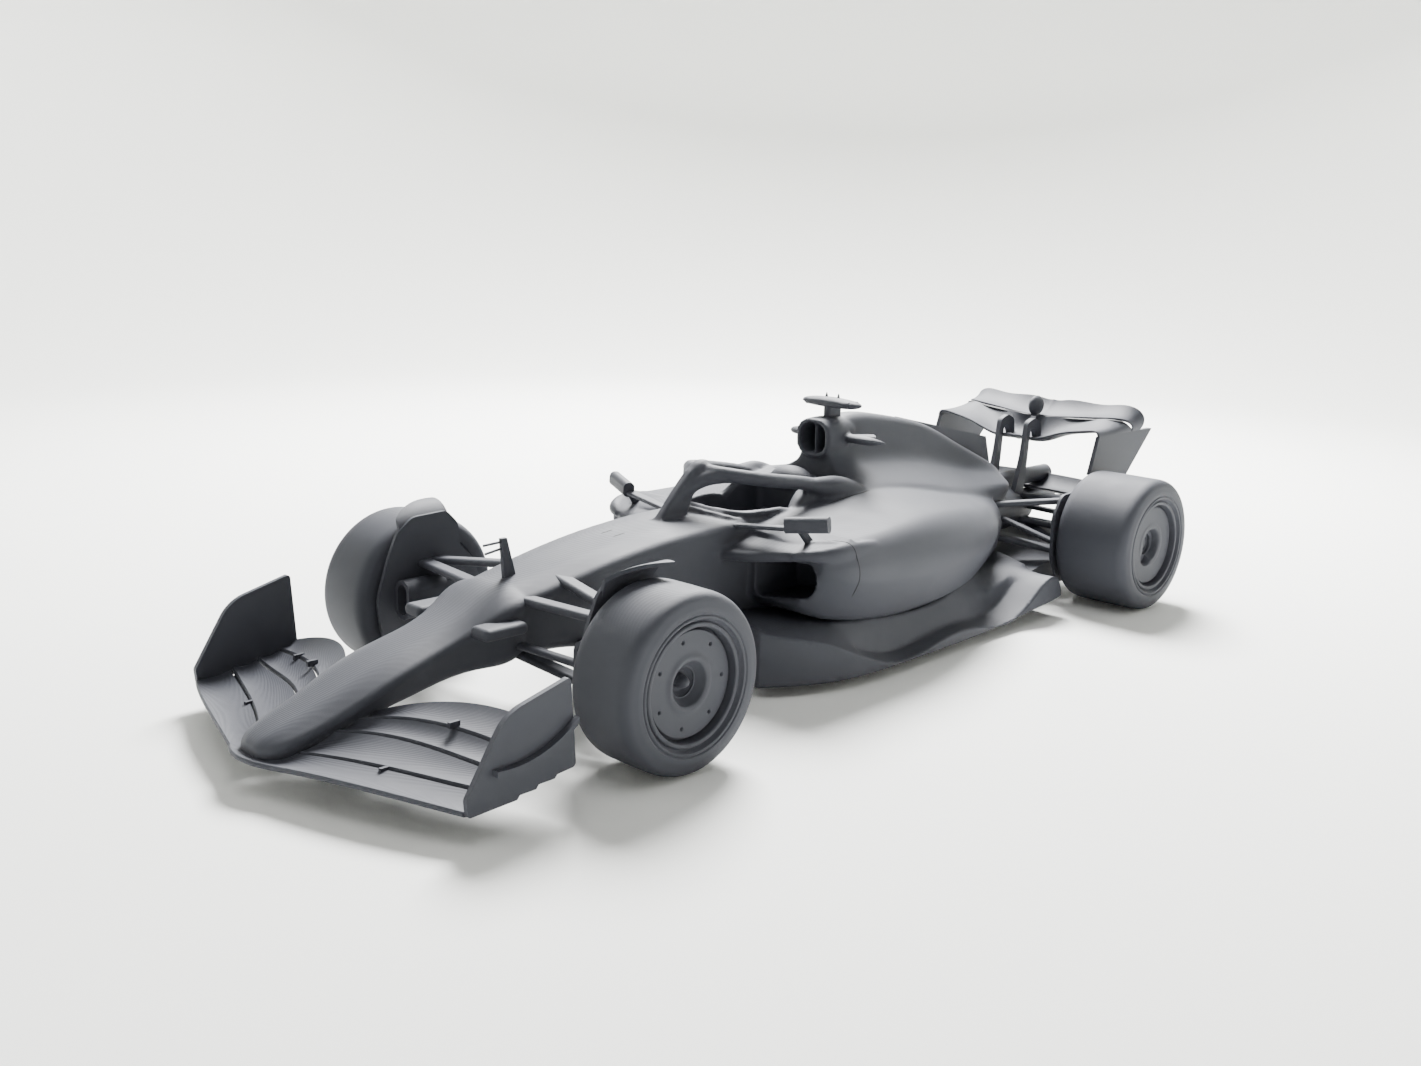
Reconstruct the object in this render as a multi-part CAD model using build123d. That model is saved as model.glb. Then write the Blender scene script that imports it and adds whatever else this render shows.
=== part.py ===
from build123d import *
import os

# Open-wheel racing car as a display model, one eighteenth of full size. Millimetres.
# X is the car's left, Y runs rearward, Z is up. Shapes are laid out from the front axle
# (Y = 0) and the ground (Z = 0), then moved so that the origin is the bottom centre of the car.

# Driving dimensions of the whole car
WHEELBASE = 198.4
FRONT_OVERHANG = 73.2
REAR_OVERHANG = 39.0
WHEEL_FACE_X = 55.6
TYRE_RADIUS = 20.0
FRONT_TYRE_WIDTH = 18.0
REAR_TYRE_WIDTH = 24.0
RIDE_HEIGHT = 2.8

# Wheels
RIM_RADIUS = 13.6
SIDEWALL_TUCK = 0.8
RIM_WALL = 1.1
COVER_GROOVE = 0.9
COVER_RECESS = 1.4
COVER_THICKNESS = 1.8
HUB_CONE_RADIUS = 4.65
NUT_RADIUS = 1.3
HUB_BOSS_RADIUS = 3.2
HUB_BOSS_LENGTH = 3.0
AXLE_RADIUS = 1.3
RUNNING_GAP = 0.35
DRUM_GAP = 0.9
PANEL_GAP = 1.0
PANEL_THICKNESS = 0.9

# Nose, tub and bodywork
NOSE_TIP_Y = -70.6
NOSE_SEAM_Y = -8.2
TUB_HALF_WIDTH = 13.5
TUB_REAR_Y = 97.0
COCKPIT_FRONT_Y = 60.5
COCKPIT_REAR_Y = 90.0
COCKPIT_HALF_WIDTH = 11.4
COCKPIT_FLOOR_Z = 12.0
INTAKE_FRONT_Y = 100.6
INTAKE_Z = 55.0
INTAKE_WIDTH = 8.8
INTAKE_HEIGHT = 8.2
INTAKE_DEPTH = 12.0
POD_MOUTH_DEPTH = 14.0

# Wings
WING_HALF_SPAN = 50.5
WING_ROOT_X = 8.0
WING_SKIN = 1.1
FRONT_ENDPLATE = 1.2
REAR_WING_HALF_SPAN = 29.1
REAR_ENDPLATE = 1.3

# Bars and tubes
ARM_WIDTH = 4.0
ARM_THICKNESS = 1.8
ROD_WIDTH = 2.6
ROD_THICKNESS = 1.5
HALO_TUBE = 3.7
SHAFT_DIAMETER = 2.0
SLIVER_VOLUME = 1.0

# The tables below give places along the car at this wheelbase. With another one, the
# middle of the car between the two places takes up the change.
TABLE_WHEELBASE = 198.4
STRETCH_START_Y = 106.0
STRETCH_END_Y = 160.0

FRONT_AXLE_Y = 0.0
REAR_AXLE_Y = FRONT_AXLE_Y + WHEELBASE
COVER_RADIUS = RIM_RADIUS - RIM_WALL - COVER_GROOVE
TYRE_SHOULDER = (TYRE_RADIUS - RIM_RADIUS) * 0.52
BEAD_RADIUS = RIM_RADIUS + (TYRE_RADIUS - RIM_RADIUS) * 0.3
CENTRE_Y = (FRONT_AXLE_Y - FRONT_OVERHANG + REAR_AXLE_Y + REAR_OVERHANG) / 2
BODY_CORE_X = TUB_HALF_WIDTH - 1.5
FRONT_PANEL_X = WHEEL_FACE_X - FRONT_TYRE_WIDTH - PANEL_GAP - PANEL_THICKNESS
REAR_PANEL_X = WHEEL_FACE_X - REAR_TYRE_WIDTH - PANEL_GAP - PANEL_THICKNESS


def station(y):
    """Place along the car for a place in the tables."""
    share = (y - STRETCH_START_Y) / (STRETCH_END_Y - STRETCH_START_Y)
    return y + (WHEELBASE - TABLE_WHEELBASE) * min(max(share, 0.0), 1.0)


def across(y):
    """Plane across the car: sketch right is the car's left, sketch up is up."""
    return Plane(origin=(0, station(y), 0), x_dir=(1, 0, 0), z_dir=(0, -1, 0))


def along(x):
    """Plane along the car: sketch right is rearward, sketch up is up."""
    return Plane(origin=(x, 0, 0), x_dir=(0, 1, 0), z_dir=(1, 0, 0))


def level(z):
    """Level plane: sketch right is the car's left, sketch up is rearward."""
    return Plane.XY.offset(z)


def in_place(points):
    """Points of a side view, moved to their places along the car."""
    return [(station(y), z) for y, z in points]


def at(x, y, z):
    """Point of the car, its place along the car taken from the tables."""
    return Vector(x, station(y), z)


def soft(points, shares):
    """Closed outline, each corner rounded over a share of half its shorter edge."""
    corners = [Vector(*point) for point in points]
    ends = []
    for number, (corner, share) in enumerate(zip(corners, shares)):
        back = corners[number - 1] - corner
        ahead = corners[(number + 1) % len(corners)] - corner
        reach = share * min(back.length, ahead.length) / 2
        ends.append((corner + back.normalized() * reach, corner + ahead.normalized() * reach))
    edges = []
    for number, (corner, (start, stop)) in enumerate(zip(corners, ends)):
        edges.append(Line(ends[number - 1][1], start))
        if shares[number] > 0:
            middle = (start + stop) / 2 - corner
            tangent = (start - corner).length
            lean = middle.length / tangent
            edges.append(ThreePointArc(start, corner + middle * (1 - (1 - lean * lean) ** 0.5) / lean ** 2, stop))
    return make_face(edges)


def flat(points):
    """Closed outline with sharp corners."""
    return make_face(Polyline(*points, close=True))


def sections(stations, points_of, shares):
    """Smooth loft through sections across the car, one for each row of a table."""
    return loft([across(row[0]) * soft(points_of(*row[1:]), shares) for row in stations])


def mirrored(half):
    """The piece on the car's left with its copy on the right."""
    return Compound(children=[half, mirror(half, about=Plane.YZ)])


def whole_solids(shape):
    """Solids of a shape without the slivers that a cut leaves."""
    return [solid for solid in shape.solids() if solid.volume > SLIVER_VOLUME]


def bar(start, end, section):
    """Straight bar from start to end, the section's width along the car."""
    line = at(*end) - at(*start)
    base = Plane(origin=at(*start), x_dir=(0, 1, 0), z_dir=line)
    return extrude(base * section, line.length)


def tyre(width):
    """Tyre about X, centred on the origin."""
    half = width / 2
    profile = flat([(-half + SIDEWALL_TUCK, RIM_RADIUS), (-half, BEAD_RADIUS), (-half, TYRE_RADIUS),
                    (half, TYRE_RADIUS), (half, BEAD_RADIUS), (half - SIDEWALL_TUCK, RIM_RADIUS)])
    tread = [v for v in profile.vertices() if v.Y > (TYRE_RADIUS + BEAD_RADIUS) / 2]
    return revolve(fillet(tread, TYRE_SHOULDER), Axis.X)


def wheel(width):
    """Rim with its dished cover, hub cone and nut, about X, outer face towards +X."""
    face = width / 2 - SIDEWALL_TUCK
    cover = face - COVER_RECESS
    back = cover - COVER_THICKNESS
    lip = RIM_RADIUS - RIM_WALL
    socket = back - 0.6
    outline = [
        (cover - 2.1, 0), (cover - 0.9, 0), (cover - 0.9, NUT_RADIUS), (cover - 1.9, NUT_RADIUS + 0.1),
        (cover - 1.9, 2.4), (cover - 0.1, HUB_CONE_RADIUS), (cover + 0.1, HUB_CONE_RADIUS + 0.8),
        (cover - 0.2, HUB_CONE_RADIUS + 1.8), (cover, COVER_RADIUS), (cover - 0.9, COVER_RADIUS),
        (cover - 0.9, lip), (face + 0.2, lip), (face, RIM_RADIUS), (-face, RIM_RADIUS),
        (-face, lip), (back, lip), (back, HUB_BOSS_RADIUS), (back - HUB_BOSS_LENGTH, HUB_BOSS_RADIUS),
        (back - HUB_BOSS_LENGTH, AXLE_RADIUS + RUNNING_GAP), (socket, AXLE_RADIUS + RUNNING_GAP),
        (socket, 0),
    ]
    return revolve(flat(outline), Axis.X)


def knuckle(width):
    """Brake drum and axle stub that carry a wheel, about X, from the panel outward."""
    back = width / 2 - SIDEWALL_TUCK - COVER_RECESS - COVER_THICKNESS
    drum_end = back - HUB_BOSS_LENGTH - DRUM_GAP
    stub_end = back - 0.6 - RUNNING_GAP
    inner = -width / 2 - PANEL_GAP
    drum = RIM_RADIUS - RIM_WALL - DRUM_GAP
    outline = [(inner, 0), (stub_end, 0), (stub_end, AXLE_RADIUS), (drum_end, AXLE_RADIUS),
               (drum_end, drum - 1.0), (drum_end - 1.0, drum), (inner, drum)]
    return revolve(flat(outline), Axis.X)


nodes = {}

# Wheels on their axles: name, side, axle's place along the car, tyre width
CORNERS = [
    ("front_left", 1, FRONT_AXLE_Y, FRONT_TYRE_WIDTH),
    ("front_right", -1, FRONT_AXLE_Y, FRONT_TYRE_WIDTH),
    ("rear_left", 1, REAR_AXLE_Y, REAR_TYRE_WIDTH),
    ("rear_right", -1, REAR_AXLE_Y, REAR_TYRE_WIDTH),
]
for name, side, axle_y, width in CORNERS:
    place = Pos(side * (WHEEL_FACE_X - width / 2), axle_y, TYRE_RADIUS)
    turn = Rot(0, 0, 0) if side > 0 else Rot(0, 0, 180)
    nodes["tyre_" + name] = place * turn * tyre(width)
    nodes["wheel_" + name] = place * turn * wheel(width)

front_hub = Pos(WHEEL_FACE_X - FRONT_TYRE_WIDTH / 2, FRONT_AXLE_Y, TYRE_RADIUS)
rear_hub = Pos(WHEEL_FACE_X - REAR_TYRE_WIDTH / 2, REAR_AXLE_Y, TYRE_RADIUS)
front_knuckle = front_hub * knuckle(FRONT_TYRE_WIDTH)
rear_knuckle = rear_hub * knuckle(REAR_TYRE_WIDTH)
nodes["knuckles"] = Compound(children=[*mirrored(front_knuckle).solids(), *mirrored(rear_knuckle).solids()])

# Nose and tub: place along the car, half width at the shoulder, shoulder height, crown
# height, half width at the bottom, bottom height
NOSE_STATIONS = [
    (NOSE_TIP_Y, 3.4, 8.3, 9.3, 3.2, 6.5),
    (-69.4, 5.2, 9.2, 10.4, 4.8, 6.0),
    (-60.0, 8.6, 12.2, 14.6, 7.2, 8.2),
    (-48.0, 10.3, 16.9, 19.4, 7.4, 11.2),
    (-34.0, 10.0, 21.7, 24.0, 7.2, 13.6),
    (-20.0, 10.8, 26.4, 28.6, 8.4, 15.5),
    (NOSE_SEAM_Y, 11.5, 30.7, 32.8, 9.2, 16.4),
]
TUB_STATIONS = [
    (NOSE_SEAM_Y, 11.5, 30.7, 32.8, 9.2, 16.4),
    (6.0, 12.6, 33.7, 35.5, 10.0, 15.6),
    (24.0, 13.0, 36.9, 38.4, 10.6, 11.0),
    (42.0, 13.2, 38.7, 39.8, 12.0, 5.4),
    (62.0, TUB_HALF_WIDTH, 39.2, 40.2, 13.2, 4.2),
    (TUB_REAR_Y, TUB_HALF_WIDTH, 39.4, 40.4, 13.4, 4.2),
]
BODY_SHARES = [0.5, 0.5, 0.6, 0.7, 0.7, 0.6]


def body_section(half, shoulder, crown, low_half, bottom):
    """Points of a nose or tub section, bottom left first."""
    return [(-low_half, bottom), (low_half, bottom), (half, shoulder), (half * 0.5, crown),
            (-half * 0.5, crown), (-half, shoulder)]


nose = sections(NOSE_STATIONS, body_section, BODY_SHARES)
tub_whole = sections(TUB_STATIONS, body_section, BODY_SHARES)


def cockpit_outline(margin):
    """Plan of the cockpit opening, wider in front and narrower between the head pads."""
    wide = COCKPIT_HALF_WIDTH + margin
    front = COCKPIT_FRONT_Y - margin
    pads = COCKPIT_HALF_WIDTH * 0.8 + margin
    return soft([(-wide * 0.75, front), (wide * 0.75, front), (wide, front + 9), (wide, 77.0), (pads, 84.0),
                 (pads, COCKPIT_REAR_Y), (-pads, COCKPIT_REAR_Y), (-pads, 84.0), (-wide, 77.0),
                 (-wide, front + 9)], [0.8, 0.8, 0.6, 0.5, 0.5, 0.6, 0.6, 0.5, 0.5, 0.6])


well = extrude(level(COCKPIT_FLOOR_Z) * cockpit_outline(0.0), 40)
rim = extrude(level(38.0) * cockpit_outline(1.1), 3.2) - extrude(across(71.0) * Rectangle(40, 100), -40)
nodes["nose_cone"] = nose
nodes["tub"] = tub_whole + rim - well

# Cockpit surround that rises behind the driver: place, height of its top
SURROUND_STATIONS = [(78.6, 40.6), (82.6, 43.4), (88.0, 45.0), (TUB_REAR_Y, 45.8)]


def surround_section(top):
    """Points of the surround's section, bottom left first."""
    return [(-TUB_HALF_WIDTH, 38.0), (TUB_HALF_WIDTH, 38.0), (TUB_HALF_WIDTH, top), (-TUB_HALF_WIDTH, top)]


surround = sections(SURROUND_STATIONS, surround_section, [0, 0, 0.85, 0.85]) - well - nodes["tub"]
nodes["cockpit_surround"] = surround

# Headrest pad between the sides of the surround
headrest = Pos(at(0, COCKPIT_REAR_Y + 2.4, 44.8)) * scale(Sphere(1), (6.4, 4.6, 3.4))
nodes["headrest"] = headrest - surround - nodes["tub"]

# Seat in the well, in side view
seat_side = [(67.0, COCKPIT_FLOOR_Z), (67.0, 17.0), (78.0, 14.5), (87.0, 35.0), (COCKPIT_REAR_Y - 0.1, 36.0),
             (COCKPIT_REAR_Y - 0.1, COCKPIT_FLOOR_Z)]
nodes["seat"] = extrude(along(-7.4) * flat(seat_side), 14.8)

# Halo: hoop round the cockpit, centre pillar, tapered ends along the surround
HALO_APEX = (0, 57.2, 50.8)
HALO_END = (13.0, 92.0, 44.2)
hoop_path = Spline((-13.0, 92.0, 44.2), (-12.8, 74.0, 47.9), (-8.4, 61.6, 50.0), HALO_APEX, (8.4, 61.6, 50.0),
                   (12.8, 74.0, 47.9), HALO_END, tangents=[(0.05, -1, 0.25), (0.05, 1, -0.25)])
hoop = sweep(Plane(origin=hoop_path @ 0, z_dir=hoop_path % 0) * Circle(HALO_TUBE / 2), path=hoop_path)
pillar_side = [(40.0, 38.4), (50.6, 38.4), (53.2, 45.2), (59.4, 50.4), (57.4, 52.7), (53.0, 52.0), (47.4, 46.6)]
pillar = extrude(along(-1.3) * soft(pillar_side, [0, 0, 0.7, 0.5, 0.6, 0.7, 0.8]), 2.6)
halo_tail = Pos(12.4, 99.0, 43.2) * scale(Sphere(1), (2.7, 12.0, 2.6))
halo_tails = halo_tail + mirror(halo_tail, about=Plane.YZ)

# Engine cover: place, half width low, height of its foot, half width mid, mid height,
# half width high, high height, crown height
COVER_STATIONS = [
    (102.0, 13.5, 4.2, 18.0, 42.2, 6.2, 47.6, 53.0),
    (112.0, 13.5, 4.2, 20.0, 41.2, 5.6, 49.8, 60.6),
    (130.0, 13.5, 4.2, 20.5, 39.3, 5.0, 48.6, 59.2),
    (150.0, 13.5, 6.2, 18.5, 35.3, 4.2, 45.4, 54.8),
    (170.0, 11.6, 16.0, 13.8, 34.0, 4.8, 40.2, 46.6),
    (184.0, 9.0, 26.0, 11.8, 33.6, 6.4, 37.4, 39.8),
    (187.6, 7.4, 28.0, 9.6, 33.2, 5.6, 36.2, 37.8),
]


def cover_section(low, foot, mid, mid_z, high, high_z, crown):
    """Points of an engine cover section, bottom left first."""
    return [(-low, foot), (low, foot), (mid, mid_z), (high, high_z), (high * 0.7, crown),
            (-high * 0.7, crown), (-high, high_z), (-mid, mid_z)]


cover = sections(COVER_STATIONS, cover_section, [0.3, 0.3, 0.5, 0.8, 0.7, 0.7, 0.8, 0.5])
snout = loft([
    across(INTAKE_FRONT_Y) * Pos(0, INTAKE_Z) * RectangleRounded(11.8, 10.4, 4.4),
    across(INTAKE_FRONT_Y + 7) * Pos(0, INTAKE_Z) * RectangleRounded(12.0, 11.0, 4.6),
    across(INTAKE_FRONT_Y + 13) * Pos(0, INTAKE_Z - 0.2) * RectangleRounded(9.4, 10.6, 3.8),
])
duct_mouth = across(INTAKE_FRONT_Y - 1) * Pos(0, INTAKE_Z) * RectangleRounded(INTAKE_WIDTH, INTAKE_HEIGHT, 3.3)
duct = extrude(duct_mouth, -INTAKE_DEPTH)
divider = extrude(across(INTAKE_FRONT_Y + 1.2) * Pos(0, INTAKE_Z) * Rectangle(0.9, INTAKE_HEIGHT + 0.6), -7.0)
nodes["engine_cover"] = (cover + snout) - duct + divider - surround - nodes["tub"] - nodes["headrest"]
cover_whole = nodes["engine_cover"]
nodes["halo"] = (hoop + pillar + halo_tails) - nodes["tub"] - surround - cover_whole

# Sidepods: place, inner top height, half width and height of the valley, of the shoulder,
# of the bulge and of the bottom
POD_STATIONS = [
    (61.6, 37.6, 21.6, 36.8, 36.4, 35.2, 38.0, 31.0, 29.6, 20.4),
    (64.6, 38.4, 22.0, 37.6, 38.9, 36.4, 41.2, 30.4, 31.0, 18.0),
    (80.0, 40.8, 22.0, 39.4, 40.4, 37.2, 43.4, 28.6, 34.6, 14.0),
    (100.0, 43.6, 21.0, 41.6, 39.2, 37.6, 43.2, 27.6, 34.0, 12.0),
    (124.0, 42.6, 19.4, 40.6, 34.8, 36.2, 39.8, 27.0, 31.6, 12.0),
    (142.0, 39.4, 17.6, 37.6, 29.4, 33.8, 34.4, 26.6, 26.6, 12.0),
    (158.0, 36.0, 15.6, 34.2, 22.4, 31.4, 25.8, 25.4, 20.6, 13.0),
    (172.0, 32.6, 13.8, 31.2, 16.2, 28.8, 18.0, 24.0, 16.0, 16.0),
]


def pod_section(top, valley_x, valley_z, shoulder_x, shoulder_z, bulge_x, bulge_z, low_x, low_z):
    """Points of the left sidepod's section, inner bottom first."""
    return [(BODY_CORE_X, low_z), (low_x, low_z), (bulge_x, bulge_z), (shoulder_x, shoulder_z),
            (valley_x, valley_z), (BODY_CORE_X, top)]


pod = sections(POD_STATIONS, pod_section, [0, 0.3, 0.85, 0.8, 0.5, 0])

# Upper lip of the pod's mouth: a plate that rises rearward, in its own plane
lip_plane = Plane(origin=(0, 51.0, 33.4), x_dir=(1, 0, 0), z_dir=(0, -0.242, 0.970))
lip_outline = soft([(BODY_CORE_X, -1.0), (20.0, 0.6), (30.0, 5.4), (37.6, 9.6), (40.0, 14.0), (39.6, 20.0),
                    (BODY_CORE_X, 20.0)], [0, 0.5, 0.5, 0.6, 0.5, 0, 0])
lip_plate = extrude(lip_plane * lip_outline, -2.6)
lip = fillet(lip_plate.edges().filter_by(lambda e: e.center().Y < 66.5 and e.center().X > BODY_CORE_X + 0.5), 0.9)
mouth_shape = soft([(15.6, 20.4), (33.0, 23.0), (35.8, 28.4), (33.8, 31.6), (15.6, 31.0)], [0.5, 0.6, 0.7, 0.6, 0.5])
mouth = extrude(across(58.0) * mouth_shape, -(POD_MOUTH_DEPTH + 6.0))

# Floor, left half: place, half width and height of the top, of the ridge, of the step
# below it and of the edge, thickness at the edge
FLOOR_STATIONS = [
    (47.0, 28.0, 17.6, 29.4, 17.3, 30.2, 17.0, 31.0, 16.6, 13.8),
    (58.0, 31.0, 16.6, 34.0, 15.9, 35.8, 15.2, 37.8, 14.0, 11.2),
    (70.0, 33.6, 15.4, 36.4, 13.4, 38.2, 11.2, 41.4, 9.4, 6.6),
    (82.0, 33.8, 14.0, 36.4, 10.8, 37.8, 6.4, 42.6, 4.6, 1.6),
    (104.0, 33.4, 12.1, 35.6, 9.2, 36.8, 5.2, 42.0, 4.4, 1.5),
    (130.0, 30.0, 13.2, 33.4, 9.2, 34.8, 5.2, 40.6, 4.2, 1.4),
    (152.0, 23.0, 14.0, 29.8, 10.4, 31.4, 6.6, 40.2, 5.6, 1.4),
    (172.0, 17.0, 15.2, 26.4, 13.0, 28.2, 8.6, 39.6, 7.4, 1.4),
]


def floor_section(top_x, top_z, ridge_x, ridge_z, step_x, step_z, edge_x, edge_z, edge_thickness):
    """Points of the left half of the floor's hull."""
    bottom = edge_z - edge_thickness
    return [(BODY_CORE_X, RIDE_HEIGHT), (step_x - 2.0, RIDE_HEIGHT), (edge_x, bottom), (edge_x, edge_z),
            (step_x, step_z), (ridge_x, ridge_z), (top_x, top_z), (BODY_CORE_X, top_z)]


# Venturi tunnel under the floor: place, roof height, half width of its outer wall
TUNNEL_STATIONS = [
    (46.0, 15.4, 29.2),
    (60.0, 12.6, 33.6),
    (82.0, 6.4, 34.0),
    (110.0, 5.2, 33.4),
    (140.0, 6.4, 30.0),
    (174.0, 10.0, 24.6),
]


def tunnel_section(roof, outer):
    """Points of the left tunnel, open below."""
    return [(15.0, 0.0), (outer, 0.0), (outer - 1.0, roof), (16.0, roof)]


floor_hull = sections(FLOOR_STATIONS, floor_section, [0] * 8)
tunnel = sections(TUNNEL_STATIONS, tunnel_section, [0] * 4)
floor_half = floor_hull - tunnel
centre_plate = extrude(level(RIDE_HEIGHT) * flat([
    (-10.0, 34.0), (10.0, 34.0), (TUB_HALF_WIDTH, 47.0), (TUB_HALF_WIDTH, station(172.0)),
    (-TUB_HALF_WIDTH, station(172.0)), (-TUB_HALF_WIDTH, 47.0)]), 1.4)
nodes["floor"] = floor_half + mirror(floor_half, about=Plane.YZ) + centre_plate - tub_whole - cover
pod_left = (pod + lip) - mouth - floor_hull - nodes["tub"] - cover_whole - surround - nodes["halo"]
nodes["sidepod_left"] = pod_left
nodes["sidepod_right"] = mirror(pod_left, about=Plane.YZ)

# Diffuser behind the floor, with its strakes, in side view
DIFFUSER_HALF_WIDTH = 26.0
STRAKE_THICKNESS = 1.2
diffuser_side = in_place([(172.0, RIDE_HEIGHT), (172.0, 9.0), (184.0, 11.2), (204.0, 13.6), (216.0, 17.6),
                          (216.0, 16.4), (204.0, 12.2), (190.0, 8.6), (180.0, 4.4)])
diffuser = extrude(along(-DIFFUSER_HALF_WIDTH) * flat(diffuser_side), 2 * DIFFUSER_HALF_WIDTH)
strake_side = in_place([(180.0, RIDE_HEIGHT), (216.0, 5.0), (216.0, 17.0), (204.0, 12.9), (190.0, 9.4), (180.0, 5.0)])
for x in (-DIFFUSER_HALF_WIDTH, -9.0, 9.0 - STRAKE_THICKNESS, DIFFUSER_HALF_WIDTH - STRAKE_THICKNESS):
    diffuser = diffuser + extrude(along(x) * flat(strake_side), STRAKE_THICKNESS)
nodes["diffuser"] = diffuser

PLANK_HALF_WIDTH = 8.3
PLANK_THICKNESS = 0.8
plank_middle = (36.0 + station(176.0)) / 2
plank_length = station(176.0) - 36.0
plank_outline = Pos(0, plank_middle) * RectangleRounded(2 * PLANK_HALF_WIDTH, plank_length, 2.0)
nodes["plank"] = extrude(level(RIDE_HEIGHT - PLANK_THICKNESS) * plank_outline, PLANK_THICKNESS) - diffuser

# Gearbox case, crash structure with its light, exhaust
gearbox = loft([
    across(172.0) * Pos(0, 21.5) * RectangleRounded(17.0, 10.0, 2.0),
    across(205.0) * Pos(0, 23.0) * RectangleRounded(11.0, 10.0, 2.0),
])
nodes["gearbox_case"] = gearbox - cover
nodes["crash_structure"] = loft([
    across(205.0) * Pos(0, 23.5) * RectangleRounded(7.0, 7.0, 1.4),
    across(228.0) * Pos(0, 25.0) * RectangleRounded(4.6, 4.6, 1.0),
])
nodes["tail_light"] = extrude(across(228.0) * Pos(0, 25.0) * RectangleRounded(2.6, 4.2, 0.5), -1.2)
tailpipe = bar((0, 183.0, 32.0), (0, 224.0, 31.8), Circle(2.7))
nodes["exhaust"] = tailpipe - bar((0, 214.0, 31.85), (0, 225.0, 31.8), Circle(2.0)) - cover

# Front wing: span place, gap of the slots there, then place and height of each line across
# the wing, from the leading edge over three slots to the trailing edge
WING_LINES = [
    (WING_ROOT_X, 0.5, (-70.3, 7.4), (-64.2, 8.2), (-56.2, 10.8), (-50.9, 12.0), (-46.0, 13.0)),
    (20.0, 0.7, (-66.8, 8.0), (-58.4, 8.2), (-48.6, 10.6), (-43.0, 13.0), (-35.4, 15.6)),
    (34.0, 0.8, (-62.3, 8.0), (-53.0, 7.8), (-44.5, 9.6), (-37.9, 11.8), (-29.6, 15.2)),
    (WING_HALF_SPAN, 0.8, (-55.6, 7.0), (-47.2, 7.6), (-40.4, 8.6), (-34.6, 9.7), (-30.1, 11.6)),
]
WING_CENTRE = [
    (0.0, 0.0, (-72.8, 7.8), (-62.8, 8.1)),
    (3.0, 0.0, (-72.4, 7.7), (-63.0, 8.1)),
    (WING_ROOT_X, 0.0, (-70.3, 7.4), (-64.2, 8.2)),
]
FLAP_NOSE = 1.5
WING_NOSE_REACH = 0.4
MAIN_NOSE = 1.1


def wing_element(rows, first, nose_height):
    """Curved plate between two neighbouring lines of the wing, lapped over the one ahead."""
    plates = []
    for x, gap, *lines in rows:
        (y0, z0), (y1, z1) = lines[first], lines[first + 1]
        if first:
            y0, z0 = y0 + gap, z0 + gap * 0.7
        middle = ((y0 + y1) / 2, (z0 + z1) / 2 - 0.5)
        top = ThreePointArc((y0, z0), middle, (y1, z1))
        rear = Line((y1, z1), (y1, z1 - 0.5))
        low = ThreePointArc((y1, z1 - 0.5), (middle[0], middle[1] - WING_SKIN), (y0, z0 - nose_height))
        front = ThreePointArc((y0, z0 - nose_height), (y0 - WING_NOSE_REACH, z0 - nose_height / 2), (y0, z0))
        plates.append(along(x) * make_face([top, rear, low, front]))
    return loft(plates)


main_half = wing_element(WING_LINES, 0, MAIN_NOSE) + wing_element(WING_CENTRE, 0, MAIN_NOSE)
nodes["front_wing_main"] = main_half + mirror(main_half, about=Plane.YZ) - nose
flaps = [wing_element(WING_LINES, number, FLAP_NOSE) - nose for number in (1, 2, 3)]
nodes["front_wing_flaps"] = Compound(children=[s for flap in flaps for s in mirrored(flap).solids()])

# Slot brackets: place across and along the car, height
SLOT_BRACKETS = [(25.8, -55.9, 7.9), (26.5, -40.0, 13.6), (38.0, -36.6, 11.6)]
brackets = [Pos(at(x, y, z)) * Box(0.8, 2.6, 1.3) for x, y, z in SLOT_BRACKETS]
for part in [main_half] + flaps:
    brackets = [bracket - part for bracket in brackets]
nodes["front_wing_brackets"] = Compound(children=[s for piece in brackets for s in whole_solids(mirrored(piece))])

# Front endplate with its dive plane
endplate_side = [(-55.8, 9.4), (-55.4, 5.9), (-44.0, 6.4), (-43.4, 7.2), (-39.4, 7.3), (-38.8, 8.1), (-34.8, 8.2),
                 (-34.2, 8.9), (-29.4, 9.4), (-30.9, 28.0), (-46.6, 24.0)]
endplate_shares = [0.3, 0.3, 0.2, 0.2, 0.2, 0.2, 0.2, 0.2, 0.4, 0.12, 0.5]
endplate = extrude(along(WING_HALF_SPAN) * soft(endplate_side, endplate_shares), FRONT_ENDPLATE)
DIVE_START = (-49.8, 14.0)
DIVE_MIDDLE = (-38.2, 15.2)
DIVE_END = (-29.9, 20.0)
DIVE_THICKNESS = 1.2
dive_arc = ThreePointArc(DIVE_START, DIVE_MIDDLE, DIVE_END)
dive_low = Pos(0, -DIVE_THICKNESS) * dive_arc
dive_side = make_face([dive_arc, Line(dive_arc @ 1, dive_low @ 1), dive_low, Line(dive_low @ 0, dive_arc @ 0)])
dive_plane = extrude(along(WING_HALF_SPAN + FRONT_ENDPLATE) * dive_side, 1.5)
nodes["front_wing_endplates"] = mirrored(endplate + dive_plane)

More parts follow.
